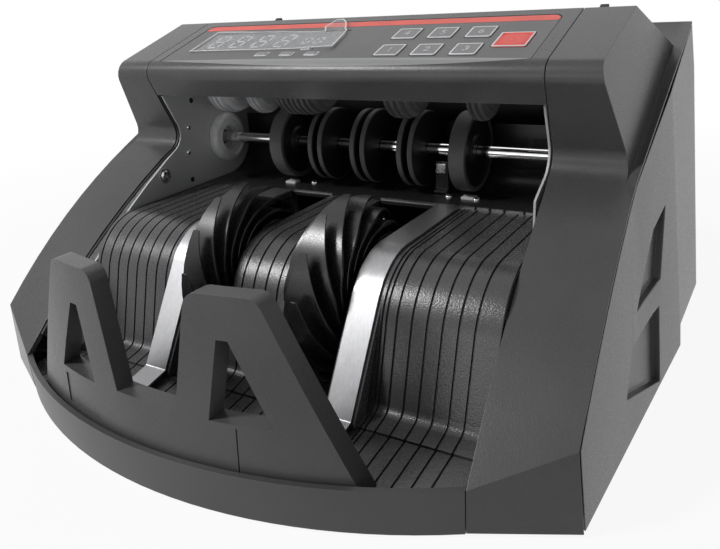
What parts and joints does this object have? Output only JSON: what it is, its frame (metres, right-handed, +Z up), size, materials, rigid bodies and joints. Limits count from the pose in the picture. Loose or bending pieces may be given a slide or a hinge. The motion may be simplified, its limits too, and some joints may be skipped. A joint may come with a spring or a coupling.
{
  "type": "banknote counter",
  "caption": "Bench banknote counter with a sloped key and display panel, counting wheels in an open throat, slotted note guides with stacking wheels and a curved note stopper.",
  "frame": {"origin": "centre of the bounding box's underside, on the table between the feet", "axes": "+X to the right seen from the front, +Y to the hopper and rear, +Z up"},
  "size_m": [0.292, 0.2396, 0.1488],
  "materials": {
    "charcoal_plastic": "fine-grained satin",
    "grey_rubber": "matt",
    "panel_label": "satin film",
    "smoked_window": "smoked, glossy",
    "clear_film": "clear, wrinkled",
    "circuit_board": "lacquered",
    "key_grey": "satin",
    "red_key": "satin",
    "grey_plate": "satin",
    "bright_steel": "polished",
    "pale_plastic": "satin, slightly translucent",
    "black_plastic": "semi-gloss",
    "belt_rubber": "matt",
    "zinc_steel": "satin zinc"
  },
  "bodies": {
    "housing": {"base_tray": "charcoal_plastic", "cheek_left": "charcoal_plastic", "cheek_right": "charcoal_plastic", "side_cover_left": "charcoal_plastic", "side_cover_right": "charcoal_plastic", "panel_cover": "charcoal_plastic", "guide_left": "charcoal_plastic", "guide_middle": "charcoal_plastic", "guide_right": "charcoal_plastic", "tray_floor": "charcoal_plastic", "stopper": "charcoal_plastic", "hopper_plate": "charcoal_plastic", "rear_cover": "charcoal_plastic", "foot_front_left": "grey_rubber", "foot_front_right": "grey_rubber", "foot_rear_left": "grey_rubber", "foot_rear_right": "grey_rubber", "panel_label": "panel_label", "display_window": "smoked_window", "display_film": "clear_film", "display_board": "circuit_board", "frame_plate_left": "grey_plate", "frame_plate_right": "grey_plate", "strip_left": "bright_steel", "strip_right": "bright_steel", "sensor_bracket": "bright_steel", "bush_left": "pale_plastic", "bush_right": "pale_plastic", "deck_plate": "black_plastic", "power_inlet": "black_plastic", "drive_belt": "belt_rubber", "motor": "zinc_steel"},
    "main_rotor": {"main_shaft": "bright_steel", "wide_wheel_left": "grey_rubber", "wide_wheel_right": "grey_rubber", "disc_wheel_left": "grey_rubber", "disc_wheel_middle": "grey_rubber", "disc_wheel_right": "grey_rubber", "main_pulley": "black_plastic"},
    "feed_rotor": {"feed_shaft": "bright_steel", "feed_roller_1": "pale_plastic", "feed_roller_2": "pale_plastic", "feed_roller_3": "pale_plastic", "feed_roller_4": "pale_plastic", "feed_roller_5": "pale_plastic"},
    "stacking_rotor": {"stacking_shaft": "bright_steel", "stacking_wheel_left": "black_plastic", "stacking_wheel_right": "black_plastic"},
    "motor_rotor": {"motor_pulley": "black_plastic"},
    "fin_left": {"hopper_fin_left": "black_plastic"},
    "fin_right": {"hopper_fin_right": "black_plastic"},
    "knob": {"gap_knob": "black_plastic"},
    "rocker": {"power_switch": "black_plastic"},
    "key_red": {"key_red": "red_key"},
    "key_rear_1": {"key_rear_1": "key_grey"},
    "key_rear_2": {"key_rear_2": "key_grey"},
    "key_rear_3": {"key_rear_3": "key_grey"},
    "key_front_1": {"key_front_1": "key_grey"},
    "key_front_2": {"key_front_2": "key_grey"},
    "key_front_3": {"key_front_3": "key_grey"}
  },
  "joints": [
    {"name": "main_shaft_turn", "type": "hinge", "parent": "housing", "child": "main_rotor", "pos_m": [0, 0.0485, 0.089], "axis": [1, 0, 0], "continuous": true},
    {"name": "feed_shaft_turn", "type": "hinge", "parent": "housing", "child": "feed_rotor", "pos_m": [0, 0.0355, 0.12123], "axis": [1, 0, 0], "continuous": true},
    {"name": "stacking_shaft_turn", "type": "hinge", "parent": "housing", "child": "stacking_rotor", "pos_m": [0, -0.027, 0.0455], "axis": [1, 0, 0], "continuous": true},
    {"name": "motor_shaft_turn", "type": "hinge", "parent": "housing", "child": "motor_rotor", "pos_m": [0.104, 0.085, 0.04], "axis": [1, 0, 0], "continuous": true},
    {"name": "fin_left_slide", "type": "slide", "parent": "housing", "child": "fin_left", "axis": [1, 0, 0], "range_m": [0, 0.03]},
    {"name": "fin_right_slide", "type": "slide", "parent": "housing", "child": "fin_right", "axis": [1, 0, 0], "range_m": [-0.03, 0]},
    {"name": "gap_knob_turn", "type": "hinge", "parent": "housing", "child": "knob", "pos_m": [0, 0.09182, 0.12883], "axis": [0, -0.4602, 0.8878], "range_deg": [0, 300]},
    {"name": "power_switch_tip", "type": "hinge", "parent": "housing", "child": "rocker", "pos_m": [-0.04, 0.1121, 0.036], "axis": [1, 0, 0], "range_deg": [0, 14]},
    {"name": "key_red_press", "type": "slide", "parent": "housing", "child": "key_red", "axis": [0, -0.2962, 0.9551], "range_m": [-0.0006, 0], "stiffness_N_per_m": 400, "springref_m": 0.001},
    {"name": "key_rear_1_press", "type": "slide", "parent": "housing", "child": "key_rear_1", "axis": [0, -0.2962, 0.9551], "range_m": [-0.0006, 0], "stiffness_N_per_m": 400, "springref_m": 0.001},
    {"name": "key_rear_2_press", "type": "slide", "parent": "housing", "child": "key_rear_2", "axis": [0, -0.2962, 0.9551], "range_m": [-0.0006, 0], "stiffness_N_per_m": 400, "springref_m": 0.001},
    {"name": "key_rear_3_press", "type": "slide", "parent": "housing", "child": "key_rear_3", "axis": [0, -0.2962, 0.9551], "range_m": [-0.0006, 0], "stiffness_N_per_m": 400, "springref_m": 0.001},
    {"name": "key_front_1_press", "type": "slide", "parent": "housing", "child": "key_front_1", "axis": [0, -0.2962, 0.9551], "range_m": [-0.0006, 0], "stiffness_N_per_m": 400, "springref_m": 0.001},
    {"name": "key_front_2_press", "type": "slide", "parent": "housing", "child": "key_front_2", "axis": [0, -0.2962, 0.9551], "range_m": [-0.0006, 0], "stiffness_N_per_m": 400, "springref_m": 0.001},
    {"name": "key_front_3_press", "type": "slide", "parent": "housing", "child": "key_front_3", "axis": [0, -0.2962, 0.9551], "range_m": [-0.0006, 0], "stiffness_N_per_m": 400, "springref_m": 0.001}
  ],
  "couplings": [
    {"joint": "feed_shaft_turn", "follows": "main_shaft_turn", "ratio": -1},
    {"joint": "stacking_shaft_turn", "follows": "main_shaft_turn", "ratio": -0.3},
    {"joint": "motor_shaft_turn", "follows": "main_shaft_turn", "ratio": 2},
    {"joint": "fin_right_slide", "follows": "fin_left_slide", "ratio": -1}
  ]
}
